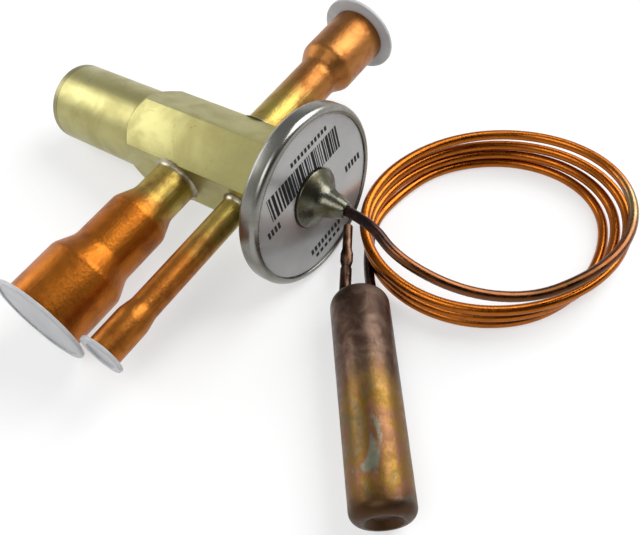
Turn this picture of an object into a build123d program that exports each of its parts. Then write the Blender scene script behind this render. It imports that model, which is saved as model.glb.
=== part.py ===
"""Thermostatic expansion valve with a remote bulb, external equaliser and solder sockets.

Every piece is first made in the valve's own frame: Z runs along the body towards the power head, X
runs along the outlet, and Z is 0 where the outlet's axis crosses the body. The valve is then laid
down on its head, its barrel and its outlet plug. Lengths are in millimetres.
"""
import os
from math import pi, radians, sqrt, tan

from build123d import *

# Body: a hexagon bar, turned down to a barrel at its free end.
hex_across_flats = 27.0
barrel_diameter = 26.3
barrel_end = -60.6
barrel_chamfer = 1.8
shoulder_at = -18.7
shoulder_angle = 33.0
hex_top = 31.5
spigot_diameter = 19.0
spigot_length = 4.6

# Bores of the body.
main_bore = 17.0
main_bore_top = 5.2
entry_bore = 20.0
entry_depth = 9.0
seat_bore = 12.0
seat_thickness = 3.4
inlet_chamber = 10.0
upper_bore = 13.0
upper_bore_floor = 17.2
guide_length = 4.6
inlet_passage = 7.0
outlet_passage = 10.0
equalizer_passage = 3.4
tube_pocket_depth = 3.6

# Tubes: diameters outside, where each step starts and ends along the tube's axis, and the wall.
outlet_at = 0.0
outlet_bore = 22.3
outlet_socket_wall = 1.5
outlet_root_margin = 0.99
outlet_steps = (
    hex_across_flats / sqrt(3) - outlet_root_margin,
    19.8,
    outlet_bore + 2 * outlet_socket_wall,
)
outlet_swages = ((25.2, 31.6), (48.3, 54.6))
outlet_rounds = (8.0, 9.0)
outlet_end = 72.5
outlet_wall = 1.4
inlet_at = 13.0
inlet_bore = 16.1
inlet_socket_wall = 1.6
inlet_root_margin = 1.39
inlet_steps = (
    hex_across_flats / sqrt(3) - inlet_root_margin,
    inlet_bore + 2 * inlet_socket_wall,
)
inlet_swages = ((45.2, 50.0),)
inlet_rounds = (5.0, 6.0)
inlet_end = 69.0
inlet_wall = 1.4
equalizer_at = 25.1
equalizer_bore = 8.2
equalizer_wall = 1.1
equalizer_steps = (8.6, equalizer_bore + 2 * equalizer_wall)
equalizer_swages = ((55.2, 59.6),)
equalizer_rounds = (6.0, 8.0)
equalizer_end = 71.4
braze_leg = 1.5
tube_fit = 0.05
tube_end_round = 0.3

# Dust plugs.
plug_flange_thickness = 1.3
plug_wall = 1.0
plug_fit = 0.08
plug_seat_gap = 0.05
plug_edge_round = 0.4
plug_face_rim = 1.8
plug_face_recess = 0.4
outlet_plug_flange = 31.8
outlet_plug_skirt = 7.0
inlet_plug_flange = 26.8
inlet_plug_skirt = 6.0
equalizer_plug_flange = 14.3
equalizer_plug_skirt = 5.0

# Power head: two dished shells, joined at a rolled bead round the diaphragm.
head_diameter = 55.8
bead_bottom = 38.9
bead_top = 45.1
bead_wall = 1.3
bead_width = 2.45
lip_width = 3.0
bead_lower_round = 1.6
bead_upper_round = 2.0
bead_edge_round = 0.3
face_drop = 0.75
shell_thickness = 1.0
flange_width = 3.4
floor_diameter = 33.0
collar_diameter = 23.0
diaphragm_at = 41.4
diaphragm_thickness = 0.2
ripple_height = 0.5
ripple_count = 4
seat_gap = 0.05
label_thickness = 0.15
label_edge_gap = 0.2
buffer_diameter = 30.0
buffer_thickness = 1.6
buffer_round = 0.5

# Boss on the head, where the capillary comes in.
boss_base = 18.4
boss_skirt = 1.6
boss_dome_height = 4.9
boss_dome_round = 3.0
boss_neck_foot = 9.6
boss_neck_round = 2.5
boss_neck_tip = 4.7
boss_height = 11.9
boss_bore_depth = 3.0
boss_port = 3.4

# Inner mechanism.
orifice_diameter = 5.0
pin_head_diameter = 7.0
pin_cone_angle = 35.0
pin_rim = 1.0
pin_stem_diameter = 4.0
pin_stem_length = 7.0
pin_stem_depth = 1.5
rod_diameter = 2.6
running_gap = 0.04
guide_packing_depth = 1.8
pin_carrier_thickness = 3.4
carrier_notch = 3.6
carrier_notches = 3
spring_wire = 1.5
spring_mean_diameter = 11.6
spring_turns = 5
spring_length = 22.0
spring_spigot_height = 1.2
spring_spigot_gap = 0.25
nut_thickness = 5.0
nut_across_flats = 15.0
nut_travel = 4.0
spindle_diameter = 6.0
spindle_collar_diameter = 10.0
spindle_collar_thickness = 2.0
spindle_foot = 2.2
spindle_slot_width = 1.0
spindle_slot_depth = 1.2
gland_length = 7.0
gland_head_diameter = 19.0
gland_head_length = 2.2
packing_section = 1.5
packing_pocket_depth = 1.9
seal_plug_recess = 0.4
seal_plug_hollow = 10.0
seal_plug_hollow_depth = 2.4
seal_plug_key = 8.0
seal_plug_key_depth = 2.2
gasket_thickness = 0.8
gasket_inside = 14.0

# Capillary and bulb.
capillary_diameter = 3.2
bulb_diameter = 17.6
bulb_length = 69.0
bulb_foot_round = 4.2
bulb_foot_dish = 8.4
bulb_foot_dish_depth = 0.5
bulb_shoulder_round = 5.4
stem_spacing = 8.0
charge_tube_diameter = 3.6
charge_tube_length = 9.0
charge_tube_tip_diameter = 3.0
charge_tube_tip_length = 17.0
charge_tube_pinch_at = 11.0
charge_tube_pinch_length = 5.0
charge_tube_pinch = 1.6
charge_tube_heading = 32.0

# Where the bulb lies on the table, measured from the point under the outlet's crossing.
bulb_top_x = -10.2
bulb_top_y = -66.3
bulb_heading = -140.9

# The coil's middle and its solid ring, measured on the table from the same point.
coil_x = 38.2
coil_y = -86.5
coil_heading = -41.9
coil_across = 84.4
coil_along = 66.2
coil_width = 8.0
coil_height = 16.6

# The capillary's two free stretches, hand set on the table's axes.
lead_straight = 7.7
lead_points = (
    (-5.8, -75.6, 27.8),
    (-0.3, -94.3, 20.1),
    (12.3, -110.2, 15.0),
)
tail_points = (
    (27.1, -51.6, 1.7),
    (17.0, -53.4, 1.7),
    (7.6, -58.4, 2.0),
    (-0.6, -64.0, 4.8),
)


def turned(points, radii=None):
    """Turn a closed outline of (radius, height) points about Z."""
    outline = [(radius, 0, height) for radius, height in points]
    rounds = radii or [0] * len(points)
    return revolve(make_face(FilletPolyline(*outline, radius=rounds, close=True)), Axis.Z)


def disc(diameter, bottom, top):
    """A plain cylinder on Z between two heights."""
    return Pos(0, 0, (bottom + top) / 2) * Cylinder(diameter / 2, top - bottom)


def ring(outer, inner, bottom, top):
    """A plain ring on Z between two heights."""
    return disc(outer, bottom, top) - disc(inner, bottom - 1, top + 1)


def along_x(solid, height, side=1):
    """Turn a solid made on Z to lie on the body's side, at a height, pointing to +X or -X."""
    return Pos(0, 0, height) * Rot(0, 90 * side, 0) * solid


def hexagon(across_flats, bottom, top):
    """A hexagon bar on Z with two of its flats facing along X."""
    outline = RegularPolygon(across_flats / 2, 6, major_radius=False, rotation=30)
    return Pos(0, 0, bottom) * extrude(outline, top - bottom)


flange_diameter = head_diameter - 2 * bead_wall
flange_inside = flange_diameter - 2 * flange_width
bead_inside = head_diameter - 2 * bead_width
lip_inside = head_diameter - 2 * lip_width
flat = hex_across_flats / 2
corner = hex_across_flats / sqrt(3)
pocket_floor = flat - tube_pocket_depth
seat_top = main_bore_top + seat_thickness
spigot_top = hex_top + spigot_length
entry_floor = barrel_end + entry_depth
face = bead_top - face_drop
pin_cone_slope = 2 * tan(radians(pin_cone_angle))
pin_rim_top = main_bore_top - seat_gap - (pin_head_diameter - orifice_diameter) / pin_cone_slope
pin_top = pin_rim_top + (pin_head_diameter - rod_diameter) / pin_cone_slope
pin_stem_foot = pin_rim_top - pin_rim - pin_stem_length
carrier_top = pin_stem_foot + pin_stem_depth
carrier_foot = carrier_top - pin_carrier_thickness
nut_top = carrier_foot - spring_length
nut_foot = nut_top - nut_thickness
gland_face = entry_floor + gland_length
buffer_top = diaphragm_at - seat_gap
buffer_foot = buffer_top - buffer_thickness


def valve_body():
    """The bored brass bar, with a pocket for each tube and a spigot for the head."""
    cone_foot = shoulder_at - (corner - barrel_diameter / 2) / tan(radians(shoulder_angle))
    envelope = turned([
        (0, barrel_end),
        (barrel_diameter / 2 - barrel_chamfer, barrel_end),
        (barrel_diameter / 2, barrel_end + barrel_chamfer),
        (barrel_diameter / 2, cone_foot),
        (corner, shoulder_at),
        (corner, hex_top),
        (0, hex_top),
    ])
    body = envelope & hexagon(hex_across_flats, barrel_end, hex_top)
    body += disc(spigot_diameter, hex_top, spigot_top)
    body -= disc(entry_bore, barrel_end - 1, entry_floor)
    body -= disc(main_bore, entry_floor, main_bore_top)
    body -= disc(seat_bore, main_bore_top, seat_top)
    body -= disc(inlet_chamber, seat_top, upper_bore_floor)
    body -= disc(upper_bore, upper_bore_floor, spigot_top)
    ports = (
        (outlet_at, outlet_steps[0], outlet_passage, 1),
        (inlet_at, inlet_steps[0], inlet_passage, -1),
        (equalizer_at, equalizer_steps[0], equalizer_passage, 1),
    )
    for height, tube, passage, side in ports:
        body -= along_x(disc(passage, 0, flat), height, side)
        body -= along_x(disc(tube + 2 * tube_fit, pocket_floor, flat + 1), height, side)
    return body


def swaged_tube(steps, swages, rounds, end, wall, bore):
    """A tube on Z, swaged wider at each step, with a solder socket at its far end."""
    concave, convex = rounds
    outside = [(steps[0] / 2, pocket_floor)]
    inside = [(steps[0] / 2 - wall, pocket_floor)]
    corners_out = [0]
    corners_in = [0]
    inner_steps = [step - 2 * wall for step in steps[:-1]] + [bore]
    for step, (start, stop) in enumerate(swages):
        outside += [(steps[step] / 2, start), (steps[step + 1] / 2, stop)]
        inside += [(inner_steps[step] / 2, start), (inner_steps[step + 1] / 2, stop)]
        corners_out += [concave, convex]
        corners_in += [concave, convex]
    outside.append((steps[-1] / 2, end))
    inside.append((bore / 2, end))
    corners_out.append(tube_end_round)
    corners_in.append(tube_end_round)
    return turned(outside + inside[::-1], corners_out + corners_in[::-1])


def braze_ring(tube):
    """The hollow fillet of braze round a tube's foot, kept on the body's flat."""
    foot = tube / 2 + tube_fit
    hollow = braze_leg * (1 - sqrt(0.5))
    section = make_face([
        Line((foot, 0, flat), (foot + braze_leg, 0, flat)),
        ThreePointArc((foot + braze_leg, 0, flat), (foot + hollow, 0, flat + hollow),
                      (foot, 0, flat + braze_leg)),
        Line((foot, 0, flat + braze_leg), (foot, 0, flat)),
    ])
    return revolve(section, Axis.Z) & Box(4 * flat, corner, 4 * flat)


def dust_plug(bore, flange, skirt, end):
    """A push-in plug on Z: a thin skirt in the socket and a wide flange against the tube's end."""
    outer = bore / 2 - plug_fit
    inner = outer - plug_wall
    back = end + plug_seat_gap
    front = back + plug_flange_thickness
    rim = flange / 2 - plug_face_rim
    return turned([
        (0, back),
        (inner, back),
        (inner, back - skirt),
        (outer, back - skirt),
        (outer, back),
        (flange / 2, back),
        (flange / 2, front),
        (rim, front),
        (rim, front - plug_face_recess),
        (0, front - plug_face_recess),
    ], [0, 0, 0, plug_edge_round, 0, plug_edge_round, plug_edge_round, 0, 0, 0])


def cup_plug(bore, flange, skirt, end):
    """A push-in plug on Z with an open cup: its floor lies at the bottom of the skirt."""
    outer = bore / 2 - plug_fit
    inner = outer - plug_wall
    back = end + plug_seat_gap
    front = back + plug_flange_thickness
    return turned([
        (0, back - skirt),
        (outer, back - skirt),
        (outer, back),
        (flange / 2, back),
        (flange / 2, front),
        (inner, front),
        (inner, back - skirt + plug_wall),
        (0, back - skirt + plug_wall),
    ], [0, plug_edge_round, 0, plug_edge_round, plug_edge_round, plug_edge_round, 0, 0])


def seal_plug():
    """The screw plug that closes the barrel, with a hexagon key socket."""
    foot = barrel_end + seal_plug_recess
    top = entry_floor - gland_head_length - gasket_thickness
    plug = disc(entry_bore - 2 * running_gap, foot, top)
    plug -= disc(seal_plug_hollow, top - seal_plug_hollow_depth, top + 1)
    return plug - hexagon(seal_plug_key, foot - 1, foot + seal_plug_key_depth)


def plug_gasket():
    """The soft copper washer between the seal plug and the gland's head."""
    foot = entry_floor - gland_head_length
    return ring(entry_bore - 2 * running_gap, gasket_inside, foot - gasket_thickness, foot)


def spindle_gland():
    """The bush that guides the spindle, with a pocket for its packing ring."""
    gland = disc(main_bore - 2 * tube_fit, entry_floor, gland_face)
    gland += disc(gland_head_diameter, entry_floor - gland_head_length, entry_floor)
    gland -= disc(spindle_diameter + 2 * running_gap, entry_floor - gland_head_length - 1, gland_face + 1)
    pocket = spindle_diameter + 2 * packing_section + 4 * running_gap
    return gland - disc(pocket, gland_face - packing_pocket_depth, gland_face + 1)


def packing_ring(shaft, top, depth):
    """A round-section ring in its pocket, just clear of the shaft."""
    middle_radius = (shaft + packing_section) / 2 + running_gap
    return Pos(0, 0, top - depth / 2) * Torus(middle_radius, packing_section / 2)


def adjusting_spindle():
    """The superheat spindle: slotted foot, collar under the gland's face and a threaded end."""
    foot = entry_floor - gland_head_length - spindle_foot
    collar_foot = gland_face + seat_gap
    spindle = disc(spindle_diameter, foot, nut_top + nut_travel + 1)
    spindle += disc(spindle_collar_diameter, collar_foot, collar_foot + spindle_collar_thickness)
    slot = Box(2 * spindle_diameter, spindle_slot_width, 2 * spindle_slot_depth)
    return spindle - Pos(0, 0, foot) * slot


def spring_spigot(foot):
    """The short boss that centres an end of the spring."""
    diameter = spring_mean_diameter - spring_wire - 2 * spring_spigot_gap
    return disc(diameter, foot, foot + spring_spigot_height)


def adjusting_nut():
    """The nut that carries the spring and rides on the spindle, held from turning by two flats."""
    nut = disc(main_bore - 2 * running_gap, nut_foot, nut_top)
    nut &= Pos(0, 0, nut_foot) * Box(2 * main_bore, nut_across_flats, 4 * nut_thickness)
    nut += spring_spigot(nut_top)
    return nut - disc(spindle_diameter + 2 * running_gap, nut_foot - 1, nut_top + spring_spigot_height + 1)


def superheat_spring():
    """The open coil spring between the nut and the pin carrier."""
    rise = spring_length - spring_wire - 2 * seat_gap
    helix = Helix(rise / spring_turns, rise, spring_mean_diameter / 2)
    wire = Plane(origin=helix @ 0, z_dir=helix % 0) * Circle(spring_wire / 2)
    return Pos(0, 0, nut_top + spring_wire / 2 + seat_gap) * sweep(wire, helix, is_frenet=True)


def pin_carrier():
    """The guide under the pin, notched so that refrigerant passes round it."""
    carrier = disc(main_bore - 2 * running_gap, carrier_foot, carrier_top)
    carrier += spring_spigot(carrier_foot - spring_spigot_height)
    for turn in range(carrier_notches):
        notch = Pos(main_bore / 2, 0, carrier_foot) * Cylinder(carrier_notch / 2, 4 * pin_carrier_thickness)
        carrier -= Rot(0, 0, 60 + 360 * turn / carrier_notches) * notch
    return carrier - disc(pin_stem_diameter + 2 * tube_fit, pin_stem_foot, carrier_top + 1)


def valve_pin():
    """The cone that meters the flow, with its stem in the carrier."""
    return turned([
        (0, pin_stem_foot),
        (pin_stem_diameter / 2, pin_stem_foot),
        (pin_stem_diameter / 2, pin_rim_top - pin_rim),
        (pin_head_diameter / 2, pin_rim_top - pin_rim),
        (pin_head_diameter / 2, pin_rim_top),
        (rod_diameter / 2, pin_top),
        (0, pin_top),
    ])


def orifice_seat():
    """The hard seat ring that the pin closes from below."""
    return ring(seat_bore - 2 * running_gap, orifice_diameter, main_bore_top, seat_top)


def rod_guide():
    """The bush that guides the push rod and parts the inlet from the equaliser's chamber."""
    top = upper_bore_floor + guide_length
    guide = ring(upper_bore - 2 * tube_fit, rod_diameter + 2 * running_gap, upper_bore_floor, top)
    pocket_diameter = rod_diameter + 2 * packing_section + 4 * running_gap
    return guide - disc(pocket_diameter, top - guide_packing_depth, top + 1)


def push_rod():
    """The rod that carries the diaphragm's stroke down to the pin."""
    return disc(rod_diameter, pin_top, buffer_foot)


def buffer_plate():
    """The stiff plate that the diaphragm bears on."""
    half = buffer_diameter / 2
    corners = [(0, buffer_foot), (half, buffer_foot), (half, buffer_top), (0, buffer_top)]
    return turned(corners, [0, buffer_round, buffer_round, 0])


def diaphragm():
    """The thin disc with round ripples between the buffer plate and the clamped edge."""
    start = buffer_diameter / 2
    stop = flange_inside / 2
    pitch = (stop - start) / ripple_count
    crests = []
    for ripple in range(ripple_count):
        crests.append((start + pitch * (ripple + 0.25), ripple_height / 2))
        crests.append((start + pitch * (ripple + 0.75), -ripple_height / 2))
    lower = [(0, 0), (start, 0)] + crests + [(stop, 0), (flange_diameter / 2, 0)]
    upper = [(radius, height + diaphragm_thickness) for radius, height in lower]
    return Pos(0, 0, diaphragm_at) * turned(lower + upper[::-1])


def head_lower_shell():
    """The dished lower shell, with a collar on the body's spigot."""
    bore = spigot_diameter / 2 + tube_fit
    flange_top = diaphragm_at - seat_gap
    slope = shell_thickness * 0.6
    return turned([
        (bore, hex_top),
        (collar_diameter / 2, hex_top),
        (collar_diameter / 2, spigot_top - shell_thickness),
        (floor_diameter / 2 + slope, spigot_top - shell_thickness),
        (flange_inside / 2 + slope, flange_top - shell_thickness),
        (flange_diameter / 2, flange_top - shell_thickness),
        (flange_diameter / 2, flange_top),
        (flange_inside / 2, flange_top),
        (floor_diameter / 2, spigot_top),
        (bore, spigot_top),
    ], [0, 0, 1, 2, 1, 0, 0, 1, 1, 0])


def head_upper_shell():
    """The upper shell, its edge rolled round the lower shell's flange into a bead."""
    flange_top = diaphragm_at + diaphragm_thickness + seat_gap
    flange_foot = diaphragm_at - 2 * seat_gap - shell_thickness
    pocket = flange_diameter / 2 + tube_fit
    return turned([
        (boss_port / 2, face - shell_thickness),
        (flange_inside / 2 - shell_thickness, face - shell_thickness),
        (flange_inside / 2, flange_top),
        (pocket, flange_top),
        (pocket, flange_foot),
        (lip_inside / 2, flange_foot),
        (lip_inside / 2, bead_bottom),
        (head_diameter / 2, bead_bottom),
        (head_diameter / 2, bead_top),
        (bead_inside / 2, bead_top),
        (bead_inside / 2, face),
        (boss_port / 2, face),
    ], [0, 0, 0, 0, 0, 0, bead_edge_round, bead_lower_round, bead_upper_round, bead_edge_round, 0, 0])


def head_label():
    """The thin round label on the head's face, cut out for the boss."""
    outer = bead_inside - 2 * label_edge_gap
    return ring(outer, boss_base + 2 * label_edge_gap, face, face + label_thickness)


def capillary_boss():
    """The domed boss, drawn down to a neck that is brazed to the capillary."""
    tip = face + boss_height
    neck = face + boss_dome_height
    bore = capillary_diameter / 2 + tube_fit
    return turned([
        (boss_port / 2, face),
        (boss_base / 2, face),
        (boss_base / 2, face + boss_skirt),
        (boss_neck_foot / 2, neck),
        (boss_neck_tip / 2, tip),
        (bore, tip),
        (bore, tip - boss_bore_depth),
        (boss_port / 2, tip - boss_bore_depth),
    ], [0, 0, boss_dome_round, boss_neck_round, 0.5, 0, 0, 0])


def bulb_shell():
    """The sealed bulb, lying on the table with its shoulder towards the coil."""
    half = bulb_diameter / 2
    solid = turned([
        (0, 0),
        (half, 0),
        (half, bulb_length),
        (bulb_foot_dish / 2, bulb_length),
        (bulb_foot_dish / 2 - bulb_foot_dish_depth, bulb_length - bulb_foot_dish_depth),
        (0, bulb_length - bulb_foot_dish_depth),
    ], [0, bulb_shoulder_round, bulb_foot_round, 0, 0, 0])
    return bulb_place(0) * solid


def bulb_place(side):
    """The place of a piece on the bulb's axis, or to one side of it, with Z towards the foot."""
    heading = Vector(1, 0, 0).rotate(Axis.Z, bulb_heading)
    across = Vector(0, 0, 1).cross(heading)
    origin = Vector(bulb_top_x, bulb_top_y, bulb_diameter / 2) + across * side
    return Plane(origin=origin, x_dir=(0, 0, 1), z_dir=heading).location


def bulb_charge_tube():
    """The short tube that the bulb was filled through, stepped down and pinched flat."""
    root = (bulb_place(-stem_spacing / 2)).position
    heading = Vector(1, 0, 0).rotate(Axis.Z, charge_tube_heading)
    tube = disc(charge_tube_diameter, -seat_gap, charge_tube_length)
    tube += disc(charge_tube_tip_diameter, charge_tube_length, charge_tube_length + charge_tube_tip_length)
    pinch = Box(charge_tube_diameter, charge_tube_diameter, charge_tube_pinch_length)
    for side in (-1, 1):
        offset = side * (charge_tube_pinch + charge_tube_diameter) / 2
        tube -= Pos(offset, 0, charge_tube_pinch_at + charge_tube_pinch_length / 2) * pinch
    return Plane(origin=root, x_dir=(0, 0, 1), z_dir=heading).location * tube - bulb_shell()


def cord_radii(points):
    """The radius of each corner's arc: as large as its two runs allow."""
    radii = []
    for before, here, after in zip(points, points[1:], points[2:]):
        arriving = Vector(here) - Vector(before)
        leaving = Vector(after) - Vector(here)
        turn = radians(arriving.get_angle(leaving))
        radii.append(0.45 * min(arriving.length, leaving.length) / tan(turn / 2))
    return radii


def cord_tube(points, name):
    """A run of the capillary: straight runs joined by tangent arcs."""
    radii = cord_radii(points)
    print(name, "arc radii, mm:", ", ".join(f"{radius:.1f}" for radius in radii))
    path = FilletPolyline(*points, radius=radii)
    section = Plane(origin=path @ 0, z_dir=path % 0) * Circle(capillary_diameter / 2)
    tube = sweep(section, path)
    expected = pi * (capillary_diameter / 2) ** 2 * path.length
    print(name, f"length {path.length:.1f} mm, volume {tube.volume:.1f} of {expected:.1f} mm3")
    return tube


def coil_ring():
    """The closed outer shape of the coil: an oval ring that lies on the table."""
    outer = Ellipse(coil_across / 2 + capillary_diameter / 2, coil_along / 2 + capillary_diameter / 2)
    inner = Ellipse(coil_across / 2 + capillary_diameter / 2 - coil_width,
                    coil_along / 2 + capillary_diameter / 2 - coil_width)
    return Pos(coil_x, coil_y, 0) * Rot(0, 0, coil_heading) * extrude(outer - inner, coil_height)


def resting_place():
    """Where the valve's frame lies when the head, the barrel and the outlet plug touch the table."""
    ring_radius = head_diameter / 2 - bead_lower_round
    ring_height = bead_bottom + bead_lower_round
    barrel_height = barrel_end + barrel_chamfer
    plug_reach = outlet_end + plug_seat_gap + plug_flange_thickness - plug_edge_round
    pitch = roll = 0.0
    for _ in range(30):
        size = sqrt(1 + pitch ** 2 + roll ** 2)
        head_drop = ring_radius * sqrt(1 + roll ** 2) + bead_lower_round * size
        barrel_drop = barrel_diameter / 2 * sqrt(1 + roll ** 2)
        pitch = (head_drop - barrel_drop) / (ring_height - barrel_height)
        plug_drop = (outlet_plug_flange / 2 - plug_edge_round) * sqrt(1 + pitch ** 2) + plug_edge_round * size
        roll = (plug_drop + pitch * ring_height - head_drop) / plug_reach
    up = Vector(roll, -1, pitch).normalized()
    height = (head_drop - pitch * ring_height) / size
    across = (Vector(-1, 0, 0) + up * up.X).normalized()
    away = up.cross(across)
    x_dir = (across.X, away.X, up.X)
    z_dir = (across.Z, away.Z, up.Z)
    return Plane(origin=(0, 0, height), x_dir=x_dir, z_dir=z_dir).location


laid = resting_place()
boss_seat = laid * Pos(0, 0, face + boss_height - boss_bore_depth)
boss_exit = laid * Pos(0, 0, face + boss_height + lead_straight)
coil_solid = coil_ring()
bulb_solid = bulb_shell()
stem_root = bulb_place(stem_spacing / 2)
lead_route = [tuple(boss_seat.position), tuple(boss_exit.position)] + list(lead_points)
tail_route = list(tail_points) + [tuple(stem_root.position)]

valve_pieces = {
    "valve_body": valve_body(),
    "outlet_tube": along_x(swaged_tube(outlet_steps, outlet_swages, outlet_rounds, outlet_end,
                                       outlet_wall, outlet_bore), outlet_at),
    "inlet_tube": along_x(swaged_tube(inlet_steps, inlet_swages, inlet_rounds, inlet_end,
                                      inlet_wall, inlet_bore), inlet_at, -1),
    "equalizer_tube": along_x(swaged_tube(equalizer_steps, equalizer_swages, equalizer_rounds,
                                          equalizer_end, equalizer_wall, equalizer_bore), equalizer_at),
    "outlet_braze_ring": along_x(braze_ring(outlet_steps[0]), outlet_at),
    "inlet_braze_ring": along_x(braze_ring(inlet_steps[0]), inlet_at, -1),
    "equalizer_braze_ring": along_x(braze_ring(equalizer_steps[0]), equalizer_at),
    "outlet_plug": along_x(dust_plug(outlet_bore, outlet_plug_flange, outlet_plug_skirt,
                                     outlet_end), outlet_at),
    "inlet_plug": along_x(dust_plug(inlet_bore, inlet_plug_flange, inlet_plug_skirt,
                                    inlet_end), inlet_at, -1),
    "equalizer_plug": along_x(cup_plug(equalizer_bore, equalizer_plug_flange, equalizer_plug_skirt,
                                       equalizer_end), equalizer_at),
    "seal_plug": seal_plug(),
    "plug_gasket": plug_gasket(),
    "spindle_gland": spindle_gland(),
    "spindle_packing": packing_ring(spindle_diameter, gland_face, packing_pocket_depth),
    "adjusting_spindle": adjusting_spindle(),
    "adjusting_nut": adjusting_nut(),
    "superheat_spring": superheat_spring(),
    "pin_carrier": pin_carrier(),
    "valve_pin": valve_pin(),
    "orifice_seat": orifice_seat(),
    "push_rod": push_rod(),
    "rod_guide": rod_guide(),
    "rod_packing": packing_ring(rod_diameter, upper_bore_floor + guide_length, guide_packing_depth),
    "buffer_plate": buffer_plate(),
    "diaphragm": diaphragm(),
    "head_lower_shell": head_lower_shell(),
    "head_upper_shell": head_upper_shell(),
    "head_label": head_label(),
    "capillary_boss": capillary_boss(),
}
pieces = {name: laid * solid for name, solid in valve_pieces.items()}
footprint = Compound(list(pieces.values())).bounding_box()
pieces["capillary_lead"] = cord_tube(lead_route, "capillary_lead") - coil_solid
pieces["capillary_coil"] = coil_solid
pieces["capillary_tail"] = cord_tube(tail_route, "capillary_tail") - coil_solid - bulb_solid
pieces["bulb"] = bulb_solid
pieces["bulb_charge_tube"] = bulb_charge_tube()

middle = footprint.center()
centred = Pos(-middle.X, -middle.Y, -footprint.min.Z)
print(f"footprint middle {middle.X:.3f} {middle.Y:.3f}, lowest {footprint.min.Z:.4f}")
os.makedirs("parts", exist_ok=True)
for name, solid in pieces.items():
    export_step(centred * solid, f"parts/{name}.step")
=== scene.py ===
import math
import random
import bmesh
import bpy
from mathutils import Matrix, Vector


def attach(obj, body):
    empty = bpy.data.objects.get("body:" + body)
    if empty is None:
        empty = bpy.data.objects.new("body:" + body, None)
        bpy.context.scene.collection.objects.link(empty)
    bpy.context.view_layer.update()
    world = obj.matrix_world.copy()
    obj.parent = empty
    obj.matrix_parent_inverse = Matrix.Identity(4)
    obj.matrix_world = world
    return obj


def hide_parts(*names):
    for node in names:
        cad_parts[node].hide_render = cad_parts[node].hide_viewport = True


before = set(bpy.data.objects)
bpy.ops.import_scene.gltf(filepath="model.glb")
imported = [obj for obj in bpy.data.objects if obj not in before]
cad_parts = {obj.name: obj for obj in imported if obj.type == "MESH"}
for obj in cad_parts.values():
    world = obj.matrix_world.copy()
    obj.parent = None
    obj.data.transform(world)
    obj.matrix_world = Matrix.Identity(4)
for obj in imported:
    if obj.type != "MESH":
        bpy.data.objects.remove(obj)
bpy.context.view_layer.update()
mm = 0.001
print("frame loaded")

# The valve's own frame: Z along the body towards the head, X along the outlet.
valve = {
    "origin": (1.91912, -2.83865, 21.6564),
    "xAxis": (-0.996872, 0.0, -0.079032),
    "yAxis": (0.078166, -0.147561, -0.985959),
    "zAxis": (-0.011662, -0.989053, 0.147099),
}
# The bulb's frame: Z from its shoulder towards its foot, lying on the table.
bulbFrame = {"origin": (-8.281, -69.139, 8.8), "heading": -140.9}


def frameMatrix(xAxis, yAxis, zAxis, origin):
    turn = Matrix((xAxis, yAxis, zAxis)).transposed().to_4x4()
    return Matrix.Translation(Vector(origin) * mm) @ turn


def flatDirection(degrees):
    angle = math.radians(degrees)
    return Vector((math.cos(angle), math.sin(angle), 0))


up = Vector((0, 0, 1))
valvePlace = frameMatrix(valve["xAxis"], valve["yAxis"], valve["zAxis"], valve["origin"])
bulbAxis = flatDirection(bulbFrame["heading"])
bulbPlace = frameMatrix(up, bulbAxis.cross(up), bulbAxis, bulbFrame["origin"])


# A tube or plug is turned upright and then laid across the body, at its height and to its side.
def acrossBody(values):
    lift = Matrix.Translation((0, 0, values["height"] * mm))
    return lift @ Matrix.Rotation(math.radians(90 * values["side"]), 4, "Y")


camera = {
    "place": (-122.267, -140.995, 203.965),
    "right": (0.579297, -0.814871, -0.019981),
    "down": (-0.662561, -0.456457, -0.593851),
    "ahead": (0.474792, 0.357255, -0.804327),
    "lens": 44.80,
    "sensor": 36.0,
    "nearest": 0.01,
    "farthest": 20,
}


def setCamera(values):
    data = bpy.data.cameras.new("mainCamera")
    data.lens = values["lens"]
    data.sensor_width = values["sensor"]
    data.clip_start = values["nearest"]
    data.clip_end = values["farthest"]
    eye = bpy.data.objects.new("mainCamera", data)
    bpy.context.scene.collection.objects.link(eye)
    right, down, ahead = (Vector(values[key]) for key in ("right", "down", "ahead"))
    eye.matrix_world = frameMatrix(right, -down, -ahead, values["place"])
    bpy.context.scene.camera = eye


setCamera(camera)
print("camera set")


def newMaterial(name):
    material = bpy.data.materials.new(name)
    material.use_nodes = True
    tree = material.node_tree
    return material, tree, tree.nodes["Principled BSDF"]


def addNode(tree, kind, **sockets):
    node = tree.nodes.new(kind)
    for key, value in sockets.items():
        node.inputs[key].default_value = value
    return node


# Patterns follow the valve or the bulb as it lies, so they read its own frame.
def placeCoordinates(tree, place):
    coordinates = tree.nodes.new("ShaderNodeTexCoord")
    mapping = tree.nodes.new("ShaderNodeMapping")
    mapping.vector_type = "TEXTURE"
    mapping.inputs["Location"].default_value = place.to_translation()
    mapping.inputs["Rotation"].default_value = place.to_euler()
    tree.links.new(coordinates.outputs["Object"], mapping.inputs["Vector"])
    return mapping.outputs["Vector"]


def stretch(tree, vector, scale):
    mapping = tree.nodes.new("ShaderNodeMapping")
    mapping.inputs["Scale"].default_value = scale
    tree.links.new(vector, mapping.inputs["Vector"])
    return mapping.outputs["Vector"]


def noise(tree, vector, scale, detail=4.0, rough=0.55, distortion=0.0):
    node = addNode(tree, "ShaderNodeTexNoise", Scale=scale, Detail=detail, Roughness=rough,
                   Distortion=distortion)
    tree.links.new(vector, node.inputs["Vector"])
    return node.outputs["Fac"]


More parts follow.
